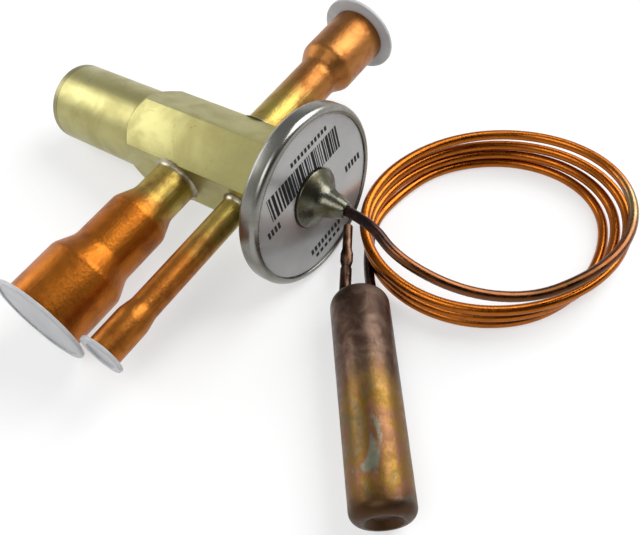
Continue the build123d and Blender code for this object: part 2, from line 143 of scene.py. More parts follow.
def ramp(tree, factor, stops):
    node = tree.nodes.new("ShaderNodeValToRGB")
    node.color_ramp.interpolation = "EASE"
    elements = node.color_ramp.elements
    while len(elements) < len(stops):
        elements.new(0.5)
    for element, (at, colour) in zip(elements, stops):
        element.position = at
        element.color = (*colour, 1)
    tree.links.new(factor, node.inputs["Fac"])
    return node.outputs["Color"]


def grey(value):
    return (value, value, value)


def greyRamp(tree, factor, *stops):
    return ramp(tree, factor, [(at, grey(value)) for at, value in stops])


def feed(tree, socket, value):
    if isinstance(value, bpy.types.NodeSocket):
        tree.links.new(value, socket)
    else:
        socket.default_value = value


def mixColour(tree, factor, first, second):
    node = tree.nodes.new("ShaderNodeMix")
    node.data_type = "RGBA"
    feed(tree, node.inputs[0], factor)
    for socket, colour in ((node.inputs[6], first), (node.inputs[7], second)):
        feed(tree, socket, (*colour, 1) if isinstance(colour, tuple) else colour)
    return node.outputs[2]


def calculate(tree, operation, first, second=0.0):
    node = tree.nodes.new("ShaderNodeMath")
    node.operation = operation
    feed(tree, node.inputs[0], first)
    feed(tree, node.inputs[1], second)
    return node.outputs[0]


def axisValue(tree, vector, axis):
    node = tree.nodes.new("ShaderNodeSeparateXYZ")
    tree.links.new(vector, node.inputs[0])
    return node.outputs[axis]


# How far a value has come from start, as a share of length.
def shareOf(tree, value, start, length):
    return calculate(tree, "DIVIDE", calculate(tree, "SUBTRACT", value, start), length)


def setBump(tree, shader, height, strength, distance=0.0003):
    bump = addNode(tree, "ShaderNodeBump", Strength=strength, Distance=distance)
    tree.links.new(height, bump.inputs["Height"])
    tree.links.new(bump.outputs["Normal"], shader.inputs["Normal"])


def setColour(tree, shader, colour):
    tree.links.new(colour, shader.inputs["Base Color"])


def setRoughness(tree, shader, factor, low, high, values):
    roughness = greyRamp(tree, factor, (low, values["smooth"]), (high, values["rough"]))
    tree.links.new(roughness, shader.inputs["Roughness"])


# The last few millimetres of the barrel are painted darker, as shade standing in for the darker reflection of
# its tapered end, with a painted brown line of shade where they begin.
brass = {
    "pale": (0.42, 0.39, 0.165),
    "tarnish": (0.35, 0.315, 0.125),
    "stain": (0.17, 0.13, 0.045),
    # The band and line colours are painted shade: the end's darker reflection and the shaded line at its edge.
    "chamferShade": (0.20, 0.19, 0.12),
    "line": (0.13, 0.075, 0.030),
    "end": -60.6,
    "endLength": 8.0,
    "smooth": 0.34,
    "rough": 0.50,
    "cloudScale": 70,
    "blotScale": 260,
    "drawnScale": (900, 900, 14),
    "pitScale": 1500,
    "bump": 0.10,
}


def makeBrass(name, values):
    material, tree, shader = newMaterial(name)
    here = placeCoordinates(tree, valvePlace)
    clouds = noise(tree, here, values["cloudScale"], 5, 0.6, 0.4)
    blots = noise(tree, here, values["blotScale"], 4, 0.6, 1.2)
    cloudMask = greyRamp(tree, clouds, (0.35, 0), (0.68, 1))
    blotMask = greyRamp(tree, blots, (0.66, 0), (0.74, 0.6))
    clouded = mixColour(tree, cloudMask, values["pale"], values["tarnish"])
    stained = mixColour(tree, blotMask, clouded, values["stain"])
    # Painted shade: the barrel's end is darkened for its reflection, with a dark shaded line where it begins.
    fromEnd = shareOf(tree, axisValue(tree, here, 2), values["end"] * mm, values["endLength"] * mm)
    chamferShadeMask = greyRamp(tree, fromEnd, (0.43, 0.6), (0.47, 0))
    chamferLineShadeMask = greyRamp(tree, fromEnd, (0.43, 0), (0.46, 0.85), (0.49, 0))
    chamferShaded = mixColour(tree, chamferShadeMask, stained, values["chamferShade"])
    setColour(tree, shader, mixColour(tree, chamferLineShadeMask, chamferShaded, values["line"]))
    shader.inputs["Metallic"].default_value = 1
    setRoughness(tree, shader, clouds, 0.3, 0.75, values)
    drawn = noise(tree, stretch(tree, here, values["drawnScale"]), 1.0, 3, 0.6)
    pits = calculate(tree, "MULTIPLY", noise(tree, here, values["pitScale"], 3, 0.6), 0.7)
    setBump(tree, shader, calculate(tree, "ADD", drawn, pits), values["bump"])
    return material


# A tube is yellow where it was heated at the body, and orange farther out.
copper = {
    "brassy": (0.44, 0.34, 0.085),
    "orange": (0.42, 0.130, 0.014),
    "dull": (0.17, 0.045, 0.009),
    "smooth": 0.30,
    "rough": 0.48,
    "wander": 10.0,
    "wanderScale": 90,
    "cloudScale": 120,
    "brushScale": (60, 1400, 1400),
    "grainScale": 1100,
    "bump": 0.30,
}


def makeTubeCopper(name, values, yellowUntil, orangeFrom):
    material, tree, shader = newMaterial(name)
    here = placeCoordinates(tree, valvePlace)
    reach = calculate(tree, "ABSOLUTE", axisValue(tree, here, 0))
    drift = calculate(tree, "MULTIPLY", noise(tree, here, values["wanderScale"], 3), values["wander"] * mm)
    start = (yellowUntil + values["wander"] / 2) * mm
    share = shareOf(tree, calculate(tree, "ADD", reach, drift), start, (orangeFrom - yellowUntil) * mm)
    heat = ramp(tree, share, [(0.0, values["brassy"]), (1.0, values["orange"])])
    clouds = noise(tree, here, values["cloudScale"], 5, 0.6, 0.5)
    patina = greyRamp(tree, clouds, (0.42, 0), (0.75, 0.75))
    setColour(tree, shader, mixColour(tree, patina, heat, values["dull"]))
    shader.inputs["Metallic"].default_value = 1
    brushed = noise(tree, stretch(tree, here, values["brushScale"]), 1.0, 3, 0.6)
    grain = noise(tree, here, values["grainScale"], 4, 0.65)
    mottle = calculate(tree, "MULTIPLY", calculate(tree, "ADD", clouds, grain), 0.5)
    setRoughness(tree, shader, mottle, 0.3, 0.72, values)
    relief = calculate(tree, "ADD", calculate(tree, "MULTIPLY", brushed, 0.5), grain)
    setBump(tree, shader, relief, values["bump"], 0.0004)
    return material


metals = {
    "brazeSilver": {"pale": (0.48, 0.45, 0.35), "dark": (0.19, 0.145, 0.06), "smooth": 0.26, "rough": 0.46,
                    "scale": 140, "bump": 0.3},
    "bossSteel": {"pale": (0.13, 0.13, 0.105), "dark": (0.065, 0.055, 0.024), "smooth": 0.22, "rough": 0.38,
                  "scale": 170, "bump": 0.15},
    "toolSteel": {"pale": (0.62, 0.62, 0.60), "dark": (0.46, 0.46, 0.44), "smooth": 0.20, "rough": 0.32,
                  "scale": 120, "bump": 0.06},
    "softCopper": {"pale": (0.80, 0.42, 0.22), "dark": (0.52, 0.24, 0.12), "smooth": 0.28, "rough": 0.42,
                   "scale": 120, "bump": 0.06},
    "chargeCopper": {"pale": (0.05, 0.026, 0.018), "dark": (0.15, 0.085, 0.05), "smooth": 0.25, "rough": 0.4,
                     "scale": 300, "bump": 0.06},
}


def makeMetal(name):
    values = metals[name]
    material, tree, shader = newMaterial(name)
    here = placeCoordinates(tree, valvePlace)
    clouds = noise(tree, here, values["scale"], 5, 0.6, 0.4)
    cloudMask = greyRamp(tree, clouds, (0.35, 0), (0.7, 1))
    setColour(tree, shader, mixColour(tree, cloudMask, values["pale"], values["dark"]))
    shader.inputs["Metallic"].default_value = 1
    setRoughness(tree, shader, clouds, 0.3, 0.75, values)
    setBump(tree, shader, noise(tree, here, 1600, 3), values["bump"])
    return material


spunSteel = {
    "pale": (0.26, 0.257, 0.235),
    "dark": (0.19, 0.18, 0.145),
    "smooth": 0.24,
    "rough": 0.36,
    "ringScale": 2500,
    "bump": 0.05,
}


def makeHeadSteel(name, values):
    material, tree, shader = newMaterial(name)
    here = placeCoordinates(tree, valvePlace)
    clouds = noise(tree, here, 60, 5, 0.6, 0.8)
    cloudMask = greyRamp(tree, clouds, (0.4, 0), (0.7, 1))
    setColour(tree, shader, mixColour(tree, cloudMask, values["pale"], values["dark"]))
    shader.inputs["Metallic"].default_value = 1
    setRoughness(tree, shader, clouds, 0.3, 0.75, values)
    radius = tree.nodes.new("ShaderNodeVectorMath")
    radius.operation = "LENGTH"
    tree.links.new(stretch(tree, here, (1, 1, 0)), radius.inputs[0])
    rings = noise(tree, stretch(tree, radius.outputs["Value"], (values["ringScale"], 0, 0)), 1.0, 2)
    setBump(tree, shader, rings, values["bump"])
    return material


film = {"pale": (0.38, 0.38, 0.375), "dark": (0.33, 0.335, 0.335), "metal": 0.45, "roughness": 0.26}


def makeLabelFilm(name, values):
    material, tree, shader = newMaterial(name)
    here = placeCoordinates(tree, valvePlace)
    cloudMask = greyRamp(tree, noise(tree, here, 90, 4), (0.3, 0), (0.7, 1))
    setColour(tree, shader, mixColour(tree, cloudMask, values["pale"], values["dark"]))
    shader.inputs["Metallic"].default_value = values["metal"]
    shader.inputs["Roughness"].default_value = values["roughness"]
    shader.inputs["Coat Weight"].default_value = 0.25
    shader.inputs["Coat Roughness"].default_value = 0.12
    setBump(tree, shader, noise(tree, here, 200, 3), 0.03, 0.0005)
    return material


def makeInk(name):
    material, tree, shader = newMaterial(name)
    wear = noise(tree, placeCoordinates(tree, valvePlace), 900, 3)
    setColour(tree, shader, ramp(tree, wear, [(0.3, (0.006, 0.006, 0.007)), (0.8, (0.018, 0.018, 0.02))]))
    shader.inputs["Roughness"].default_value = 0.6
    shader.inputs["Specular IOR Level"].default_value = 0.12
    return material


plastic = {"milk": (0.48, 0.485, 0.50), "shade": (0.40, 0.405, 0.42), "through": 0.08, "glow": 0.4}


def makePlastic(name, values):
    material, tree, shader = newMaterial(name)
    here = placeCoordinates(tree, valvePlace)
    cloudMask = greyRamp(tree, noise(tree, here, 60, 4, 0.6, 0.6), (0.35, 0), (0.7, 1))
    setColour(tree, shader, mixColour(tree, cloudMask, values["milk"], values["shade"]))
    shader.inputs["Transmission Weight"].default_value = values["through"]
    shader.inputs["Subsurface Weight"].default_value = values["glow"]
    shader.inputs["Subsurface Radius"].default_value = (0.004, 0.004, 0.004)
    shader.inputs["Roughness"].default_value = 0.38
    shader.inputs["IOR"].default_value = 1.5
    setBump(tree, shader, noise(tree, here, 260, 4), 0.08, 0.0005)
    return material


cordLength = 964.0

# Tints of the capillary and how far along it, in millimetres, each one lies.
# A stop below zero is measured back from the bulb.
capillary = {
    "scorched": (0.035, 0.022, 0.020),
    "brown": (0.150, 0.058, 0.024),
    "dark": (0.055, 0.023, 0.008),
    "olive": (0.28, 0.195, 0.095),
    "orange": (0.37, 0.105, 0.012),
    "tail": (0.030, 0.014, 0.010),
    "patina": (0.20, 0.058, 0.014),
    "stops": [(0, "scorched"), (14, "scorched"), (24, "brown"), (38, "brown"), (58, "dark"), (84, "brown"),
              (102, "olive"), (122, "orange"), (-62, "orange"), (-42, "tail")],
    "wander": 0.02,
    "smooth": 0.22,
    "rough": 0.38,
}


def makeCapillary(name, values):
    material, tree, shader = newMaterial(name)
    coordinates = tree.nodes.new("ShaderNodeTexCoord")
    here = coordinates.outputs["Object"]
    along = axisValue(tree, coordinates.outputs["UV"], 0)
    around = calculate(tree, "SUBTRACT", noise(tree, here, 160, 3), 0.5)
    drift = calculate(tree, "MULTIPLY", around, values["wander"])
    stops = [((at if at >= 0 else cordLength + at) / cordLength, values[key]) for at, key in values["stops"]]
    heat = ramp(tree, calculate(tree, "ADD", along, drift), stops)
    clouds = noise(tree, here, 240, 5, 0.6, 0.6)
    patina = greyRamp(tree, clouds, (0.45, 0), (0.8, 0.55))
    setColour(tree, shader, mixColour(tree, patina, heat, values["patina"]))
    shader.inputs["Metallic"].default_value = 1
    setRoughness(tree, shader, clouds, 0.3, 0.75, values)
    setBump(tree, shader, noise(tree, here, 1500, 3), 0.10)
    return material


# Beyond the line, in millimetres from the shoulder, patches of colour take the place of smoke.
bulbTint = {
    "scorched": (0.065, 0.034, 0.023),
    "plum": (0.150, 0.098, 0.070),
    "gold": (0.165, 0.088, 0.014),
    "olive": (0.135, 0.090, 0.034),
    "steel": (0.160, 0.160, 0.112),
    "rose": (0.170, 0.078, 0.036),
    "rim": (0.20, 0.105, 0.030),
    # The foot colour is painted shade: the bulb's rounded end and its dish are darkened as if shaded.
    "foot": (0.040, 0.017, 0.007),
    "line": 30.0,
    "lineSag": 90,
    "lineRagged": 12.0,
    "fadeBefore": 8.0,
    "fadeLength": 14.0,
    "rimLength": 10.0,
    "footFrom": 61.0,
    "footLength": 6.0,
    "smooth": 0.34,
    "rough": 0.50,
}


def makeBulbCopper(name, values):
    material, tree, shader = newMaterial(name)
    here = placeCoordinates(tree, bulbPlace)
    down = axisValue(tree, here, 2)
    across = axisValue(tree, here, 1)
    fine = noise(tree, here, 420, 4, 0.6, 0.5)
    wide = noise(tree, stretch(tree, here, (1, 1, 0.55)), 95, 4, 0.5, 0.8)
    patches = ramp(tree, wide, [(0.34, values["rose"]), (0.44, values["olive"]), (0.50, values["gold"]),
                                (0.58, values["rose"]), (0.66, values["steel"])])
    clouds = noise(tree, here, 150, 4, 0.6, 0.8)
    smoke = ramp(tree, clouds, [(0.35, values["scorched"]), (0.7, values["plum"])])
    sag = calculate(tree, "MULTIPLY", calculate(tree, "MULTIPLY", across, across), values["lineSag"])
    ragged = calculate(tree, "MULTIPLY", calculate(tree, "SUBTRACT", fine, 0.5), values["lineRagged"] * mm)
    edge = calculate(tree, "ADD", calculate(tree, "SUBTRACT", down, sag), ragged)
    fade = shareOf(tree, edge, (values["line"] - values["fadeBefore"]) * mm, values["fadeLength"] * mm)
    tinted = mixColour(tree, greyRamp(tree, fade, (0.0, 0), (1.0, 1)), smoke, patches)
    pastLine = shareOf(tree, edge, values["line"] * mm, values["rimLength"] * mm)
    rimMask = greyRamp(tree, pastLine, (0.0, 0), (0.35, 0.55), (0.7, 0.0))
    ringed = mixColour(tree, rimMask, tinted, values["rim"])
    # Painted shade: the bulb darkens towards its foot, as shade in its dished end.
    nearFoot = shareOf(tree, down, values["footFrom"] * mm, values["footLength"] * mm)
    footShadeMask = greyRamp(tree, nearFoot, (0.0, 0), (1.0, 0.85))
    setColour(tree, shader, mixColour(tree, footShadeMask, ringed, values["foot"]))
    shader.inputs["Metallic"].default_value = 0.85
    setRoughness(tree, shader, fine, 0.3, 0.7, values)
    setBump(tree, shader, calculate(tree, "ADD", fine, noise(tree, here, 1300, 3)), 0.10, 0.0004)
    return material


def makeRubber(name):
    material, tree, shader = newMaterial(name)
    dust = noise(tree, placeCoordinates(tree, valvePlace), 500, 4)
    setColour(tree, shader, greyRamp(tree, dust, (0.3, 0.012), (0.7, 0.03)))
    shader.inputs["Roughness"].default_value = 0.6
    return material


bodyBrass = makeBrass("bodyBrass", brass)
trimBrass = makeBrass("trimBrass", {**brass, "pale": (0.56, 0.45, 0.20)})
# Each tube's copper, with where its yellow ends and its orange begins.
tubeMetal = {
    "outlet": makeTubeCopper("outletCopper", copper, 22, 34),
    "inlet": makeTubeCopper("inletCopper", {**copper, "orange": (0.36, 0.150, 0.040)}, 20, 40),
    "equalizer": makeTubeCopper("equalizerCopper", {**copper, "orange": (0.40, 0.140, 0.022)}, 18, 42),
}
brazeSilver = makeMetal("brazeSilver")
bossSteel = makeMetal("bossSteel")
toolSteel = makeMetal("toolSteel")
softCopper = makeMetal("softCopper")
chargeCopper = makeMetal("chargeCopper")
headSteel = makeHeadSteel("headSteel", spunSteel)
labelFilm = makeLabelFilm("labelFilm", film)
ink = makeInk("labelInk")
milkyPlastic = makePlastic("milkyPlastic", plastic)
capillaryCopper = makeCapillary("capillaryCopper", capillary)
bulbCopper = makeBulbCopper("bulbCopper", bulbTint)
packingRubber = makeRubber("packingRubber")
print("materials made")


def deselect():
    bpy.ops.object.select_all(action="DESELECT")


def choose(piece):
    deselect()
    piece.select_set(True)
    bpy.context.view_layer.objects.active = piece


# Points closer than this, in metres, count as one.
touching = 1e-6


def selectRing(piece, radius, height):
    mesh = bmesh.from_edit_mesh(piece.data)
    for part in (*mesh.verts, *mesh.edges, *mesh.faces):
        part.select = False
    chosen = set()
    for vert in mesh.verts:
        miss = max(abs(vert.co.z - height), abs(math.hypot(vert.co.x, vert.co.y) - radius))
        if miss < 2 * touching:
            chosen.add(vert)
    for edge in mesh.edges:
        if edge.verts[0] in chosen and edge.verts[1] in chosen:
            edge.select = True
            edge.verts[0].select = edge.verts[1].select = True
    bmesh.update_edit_mesh(piece.data)


def cornerOffset(before, here, after, radius):
    arriving, leaving = Vector(here) - Vector(before), Vector(after) - Vector(here)
    return radius * math.tan(arriving.angle(leaving) / 2)


# The outline holds radii and heights in millimetres; rounds gives a corner's radius by its index.
def turnOnLathe(name, outline, rounds, closed, sides=96, steps=5):
    deselect()
    points = [(radius * mm, height * mm) for radius, height in outline]
    radius, height = points[0]
    bpy.ops.mesh.primitive_circle_add(vertices=sides, radius=radius, fill_type="NOTHING", location=(0, 0, 0))
    piece = bpy.context.object
    piece.name = piece.data.name = name
    bpy.ops.object.mode_set(mode="EDIT")
    bpy.ops.mesh.select_all(action="SELECT")
    bpy.ops.transform.translate(value=(0, 0, height))
    if not closed:
        bpy.ops.mesh.edge_face_add()
    for nextRadius, nextHeight in points[1:] + points[:1] * closed:
        if not closed and (radius, height) == points[0]:
            selectRing(piece, radius, height)
        bpy.ops.mesh.extrude_edges_move(TRANSFORM_OT_translate={"value": (0, 0, nextHeight - height)})
        growth = nextRadius / radius
        bpy.ops.transform.resize(value=(growth, growth, 1), center_override=(0, 0, nextHeight))
        radius, height = nextRadius, nextHeight
    if not closed:
        bpy.ops.mesh.edge_face_add()
    bpy.ops.mesh.select_all(action="SELECT")
    bpy.ops.mesh.remove_doubles(threshold=touching)
    bpy.ops.mesh.normals_make_consistent(inside=False)
    count = len(points)
    for index, size in rounds.items():
        before = points[index - 1] if index or closed else (0, points[0][1])
        after = points[(index + 1) % count] if index < count - 1 or closed else (0, points[-1][1])
        selectRing(piece, *points[index])
        offset = cornerOffset(before, points[index], after, size * mm)
        bpy.ops.mesh.bevel(offset=offset, offset_type="OFFSET", segments=steps, profile=0.5, affect="EDGES",
                           clamp_overlap=True)
    bpy.ops.mesh.select_all(action="DESELECT")
    bpy.ops.object.mode_set(mode="OBJECT")
    return piece


def prism(name, acrossFlats, bottom, top):
    deselect()
    radius = acrossFlats / math.sqrt(3) * mm
    middle = (0, 0, (bottom + top) / 2 * mm)
    bpy.ops.mesh.primitive_cylinder_add(vertices=6, radius=radius, depth=(top - bottom) * mm, location=middle)
    bar = bpy.context.object
    bar.name = name
    bpy.ops.object.transform_apply(location=True, rotation=False, scale=False)
    return bar


def plainDisc(name, diameter, bottom, top, sides=96):
    return turnOnLathe(name, [(diameter / 2, bottom), (diameter / 2, top)], {}, False, sides)


def applyModifier(piece, kind, **settings):
    choose(piece)
    modifier = piece.modifiers.new(kind.title(), kind)
    for key, value in settings.items():
        setattr(modifier, key, value)
    bpy.ops.object.modifier_apply(modifier=modifier.name)


def combine(piece, other, operation):
    applyModifier(piece, "BOOLEAN", object=other, operation=operation, solver="EXACT")
    bpy.data.objects.remove(other, do_unlink=True)


def moved(piece, place):
    choose(piece)
    piece.matrix_world = place @ piece.matrix_world
    bpy.ops.object.transform_apply(location=True, rotation=True, scale=True)
    return piece


def seat(piece, place, angle=30):
    moved(piece, place)
    bpy.ops.object.shade_smooth_by_angle(angle=math.radians(angle))


def finishPiece(piece, material, body, node):
    piece.data.materials.clear()
    piece.data.materials.append(material)
    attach(piece, body)
    if node:
        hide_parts(node)


# Each station of the coil: the turn, the height of the strand and how far it lies inside the oval.
cordRoute = {
    "diameter": 3.2,
    "table": (1.91912, -2.83865, 0.0),
    "seat": (-0.621, -52.667, 29.489),
    "bossExit": (-0.746, -63.25, 31.06),
    "lead": [(-5.8, -75.6, 27.8), (-0.3, -94.3, 20.1), (12.3, -110.2, 15.0)],
    "tail": [(27.1, -51.6, 1.7), (17.0, -53.4, 1.7), (7.6, -58.4, 2.0), (-0.6, -64.0, 4.8),
             (-7.677, -69.404, 8.8), (-13.885, -74.449, 8.8)],
    "middle": (38.2, -86.5),
    "heading": -41.9,
    "across": 84.4,
    "along": 66.2,
    "startAngle": 256.5,
    "firstTurn": 0.093,
    "lastTurn": 3.62,
    "perTurn": 16,
    "chordShare": 0.981,
    "stations": [(0.0, 15.0, 0.0), (0.217, 14.2, 0.0), (0.497, 13.0, 0.0), (0.714, 11.5, 0.0),
                 (1.0, 8.2, -0.7), (1.217, 7.9, 0.0), (1.497, 8.1, 0.0), (1.714, 8.1, 0.8),
                 (2.0, 4.9, -0.8), (2.217, 4.8, 3.1), (2.497, 4.85, 1.0), (2.714, 4.85, 1.6),
                 (3.0, 1.65, -0.9), (3.217, 1.65, 6.2), (3.497, 1.65, 1.8), (3.7, 1.65, 2.6)],
    "stepsAround": 6,
    "stepsAlong": 8,
}


def between(stations, turn):
    for low, high in zip(stations, stations[1:]):
        if turn <= high[0]:
            share = (turn - low[0]) / (high[0] - low[0])
            ease = share * share * (3 - 2 * share)
            return [a + (b - a) * ease for a, b in zip(low[1:], high[1:])]
    return stations[-1][1:]


def coilPoints(values):
    turn = math.radians(values["heading"])
    longWay = Vector((math.cos(turn), math.sin(turn)))
    shortWay = Vector((-math.sin(turn), math.cos(turn)))
    middle = Vector(values["middle"])
    points = []
    count = int((values["lastTurn"] - values["firstTurn"]) * values["perTurn"]) + 1
    for step in range(count):
        at = values["firstTurn"] + step / values["perTurn"]
        height, inset = between(values["stations"], at)
        angle = math.radians(values["startAngle"] + 360 * at)
        longRadius = (values["across"] / 2 - inset) / values["chordShare"]
        shortRadius = (values["along"] / 2 - inset) / values["chordShare"]
        spot = middle + longWay * longRadius * math.cos(angle) + shortWay * shortRadius * math.sin(angle)
        points.append((spot.x, spot.y, height))
    return points


def layCord(values):
    points = [values["seat"], values["bossExit"], *values["lead"], *coilPoints(values), *values["tail"]]
    curve = bpy.data.curves.new("capillary", "CURVE")
    curve.dimensions = "3D"
    curve.bevel_depth = values["diameter"] / 2 * mm
    curve.bevel_resolution = values["stepsAround"]
    curve.resolution_u = values["stepsAlong"]
    curve.use_fill_caps = True
    spline = curve.splines.new("NURBS")
    spline.points.add(len(points) - 1)
    shift = Vector(values["table"])
    for target, point in zip(spline.points, points):
        target.co = (*((Vector(point) + shift) * mm), 1)
    spline.order_u = 3
    spline.use_endpoint_u = True
    spline.use_smooth = True
    curve.materials.append(capillaryCopper)
    cord = bpy.data.objects.new("capillary", curve)
    bpy.context.scene.collection.objects.link(cord)
    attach(cord, "valve")
    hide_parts("capillary_lead", "capillary_coil", "capillary_tail")
    exitPoint = (Vector(values["seat"]) + shift) * mm
    return cord, exitPoint


cord, cordExit = layCord(cordRoute)
print("cord laid")

# Pockets for the tubes and passages to the bore lie between two distances from the body's middle.
body = {
    "acrossFlats": 27.0,
    "hexagon": (-70, 40),
    "outline": [(11.35, -60.6), (13.15, -58.8), (13.15, -22.455), (16.4, -17.45), (16.4, 31.5), (9.5, 31.5),
                (9.5, 36.1)],
    "bore": [(10, -61), (10, -51.6), (8.5, -51.6), (8.5, 5.2), (6, 5.2), (6, 8.6), (5, 8.6), (5, 17.2),
             (6.5, 17.2), (6.5, 36.5)],
    "pocket": (9.9, 20),
    "pocketPlay": 0.1,
    "passage": (2, 11),
    "edge": 0.35,
    "edgeAngle": 28,
}
# Each tube: its height on the body, the side it leaves by, its passage, its outline and its rounded corners.
tubes = {
    "outlet": {"height": 0.0, "side": 1, "passage": 5.0,
               "outside": [(7.3, 9.9), (7.3, 25.2), (9.9, 31.6), (9.9, 48.3), (12.65, 54.6), (12.65, 72.5)],
               "inside": [(11.15, 72.5), (11.15, 54.6), (8.5, 48.3), (8.5, 31.6), (5.9, 25.2), (5.9, 9.9)],
               "rounds": {1: 6, 2: 4, 3: 6, 4: 4, 5: 0.3, 6: 0.3, 7: 7.6, 8: 9.4, 9: 7.6, 10: 9.4}},
    "inlet": {"height": 13.0, "side": -1, "passage": 3.5,
              "outside": [(7.1, 9.9), (7.1, 45.2), (9.65, 50), (9.65, 69)],
              "inside": [(8.05, 69), (8.05, 50), (5.7, 45.2), (5.7, 9.9)],
              "rounds": {1: 5, 2: 4, 3: 0.3, 4: 0.3, 5: 4.5, 6: 6.4}},
    "equalizer": {"height": 25.1, "side": 1, "passage": 1.7,
                  "outside": [(4.3, 9.9), (4.3, 55.2), (5.2, 59.6), (5.2, 71.4)],
                  "inside": [(4.1, 71.4), (4.1, 59.6), (3.2, 55.2), (3.2, 9.9)],
                  "rounds": {1: 6, 2: 8, 3: 0.3, 4: 0.3, 5: 7, 6: 7}},
}


def drill(piece, tube, diameter, span, sides):
    cutter = plainDisc("cutter", diameter, *span, sides)
    combine(piece, moved(cutter, acrossBody(tube)), "DIFFERENCE")


def makeBody(values):
    piece = turnOnLathe("valveBody", values["outline"], {}, False, 120)
    combine(piece, prism("hexagon", values["acrossFlats"], *values["hexagon"]), "INTERSECT")
    for tube in tubes.values():
        drill(piece, tube, 2 * tube["outside"][0][0] + values["pocketPlay"], values["pocket"], 96)
    applyModifier(piece, "BEVEL", width=values["edge"] * mm, segments=3, limit_method="ANGLE",
                  angle_limit=math.radians(values["edgeAngle"]), use_clamp_overlap=True)
    combine(piece, turnOnLathe("bore", values["bore"], {}, False), "DIFFERENCE")
    for tube in tubes.values():
        drill(piece, tube, 2 * tube["passage"], values["passage"], 48)
    seat(piece, valvePlace, 25)
    finishPiece(piece, bodyBrass, "valve", "valve_body")


makeBody(body)
print("body made")


def makeTube(name, values):
    piece = turnOnLathe(name + "Tube", values["outside"] + values["inside"], values["rounds"], True, 96, 8)
    seat(piece, valvePlace @ acrossBody(values))
    finishPiece(piece, tubeMetal[name], "valve", name + "_tube")


# The braze is a hollow fillet; flat is how far the hexagon's face lies from the body's middle.
braze = {"leg": 1.5, "flat": 13.4, "steps": 8, "gap": 0.05}


def makeBraze(name, values, tube):
    leg, flat = values["leg"], values["flat"]
    wall = tube["outside"][0][0]
    foot = wall - values["gap"]
    outline = [(foot, flat)]
    for step in range(values["steps"] + 1):
        angle = math.pi / 2 * step / values["steps"]
        outline.append((wall + leg - leg * math.sin(angle), flat + leg - leg * math.cos(angle)))
    outline.append((foot, flat + leg))
    ring = turnOnLathe(name + "Braze", outline, {}, True)
    seat(ring, valvePlace @ acrossBody(tube), 50)
    finishPiece(ring, brazeSilver, "valve", name + "_braze_ring")


for name, values in tubes.items():
    makeTube(name, values)
    makeBraze(name, braze, values)
print("tubes made")

plugs = {
    "outlet": {"outline": [(10.07, 72.55), (10.07, 65.55), (11.07, 65.55), (11.07, 72.55), (15.9, 72.55),
                           (15.9, 73.85), (14.1, 73.85), (14.1, 73.45)],
               "rounds": {1: 0.3, 2: 0.3, 4: 0.4, 5: 0.4, 6: 0.15}},
    "inlet": {"outline": [(6.97, 69.05), (6.97, 63.05), (7.97, 63.05), (7.97, 69.05), (13.4, 69.05),
                          (13.4, 70.35), (11.6, 70.35), (11.6, 69.95)],
              "rounds": {1: 0.3, 2: 0.3, 4: 0.4, 5: 0.4, 6: 0.15}},
    "equalizer": {"outline": [(4.02, 66.45), (4.02, 71.45), (7.15, 71.45), (7.15, 72.75), (5.0, 72.75),
                              (4.7, 72.15)],
                  "rounds": {0: 0.3, 2: 0.4, 3: 0.4, 4: 0.25}},
}
for name, values in plugs.items():
    cap = turnOnLathe(name + "Plug", values["outline"], values["rounds"], False)
    seat(cap, valvePlace @ acrossBody(tubes[name]))
    finishPiece(cap, milkyPlastic, name + "_plug", name + "_plug")
print("plugs made")

head = {
    "upper": [(1.7, 43.35), (22.2, 43.35), (23.2, 41.65), (26.65, 41.65), (26.65, 40.3), (24.9, 40.3),
              (24.9, 38.9), (27.9, 38.9), (27.9, 45.1), (25.45, 45.1), (25.45, 44.35), (1.7, 44.35)],
    "upperRounds": {6: 0.3, 7: 1.6, 8: 2.0, 9: 0.3},
    "lower": [(9.55, 31.5), (11.5, 31.5), (11.5, 35.1), (17.1, 35.1), (23.8, 40.35), (26.6, 40.35),
              (26.6, 41.35), (23.2, 41.35), (16.5, 36.1), (9.55, 36.1)],
    "lowerRounds": {2: 1, 3: 2, 4: 1, 7: 1, 8: 1},
    "label": [(9.6, 44.34), (25.25, 44.34), (25.25, 44.5), (9.6, 44.5)],
    "boss": [(1.7, 44.35), (9.15, 44.35), (9.15, 45.25), (7.2, 46.9), (4.7, 49.0), (3.5, 53.2), (2.35, 56.25),
             (1.65, 56.25), (1.65, 53.25), (1.7, 53.25)],
    "bossRounds": {2: 0.5, 3: 6, 4: 5, 5: 6, 6: 0.5},
}
for name, outline, rounds, metal, node, slotName in (
        ("headUpperShell", head["upper"], head["upperRounds"], headSteel, "head_upper_shell", "head_steel"),
        ("headLowerShell", head["lower"], head["lowerRounds"], headSteel, "head_lower_shell", "head_steel"),
        ("headLabel", head["label"], {}, labelFilm, "head_label", "label_film"),
        ("capillaryBoss", head["boss"], head["bossRounds"], bossSteel, "capillary_boss", "boss_steel")):
    piece = turnOnLathe(name, outline, rounds, True, 128, 8)
    seat(piece, valvePlace)
    finishPiece(piece, metal, "valve", node)
print("head made")

# The bars stand along Y and fill the strip along X. Each row of dashes: its ends, its edges and their number.
labelPrint = {
    "seed": 7,
    "barsX": (-15.3, 17.5),
    "barsY": (-15.6, -7.2),
    "narrow": 0.40,
    "barWidths": (1, 1, 2, 2, 3),
    "gapWidths": (0.8, 1, 1, 1.6),
    "height": 44.52,
    "depth": 0.03,
    "rows": [(-11.5, 6.0, -18.8, -17.2, 11), (15.4, 21.4, -5.4, -3.0, 4), (-22.6, -14.6, 1.6, 4.0, 5),
             (-7.6, 8.2, 17.2, 19.2, 9), (-6.6, 6.8, 20.4, 21.8, 6)],
    "dashShare": 0.62,
}


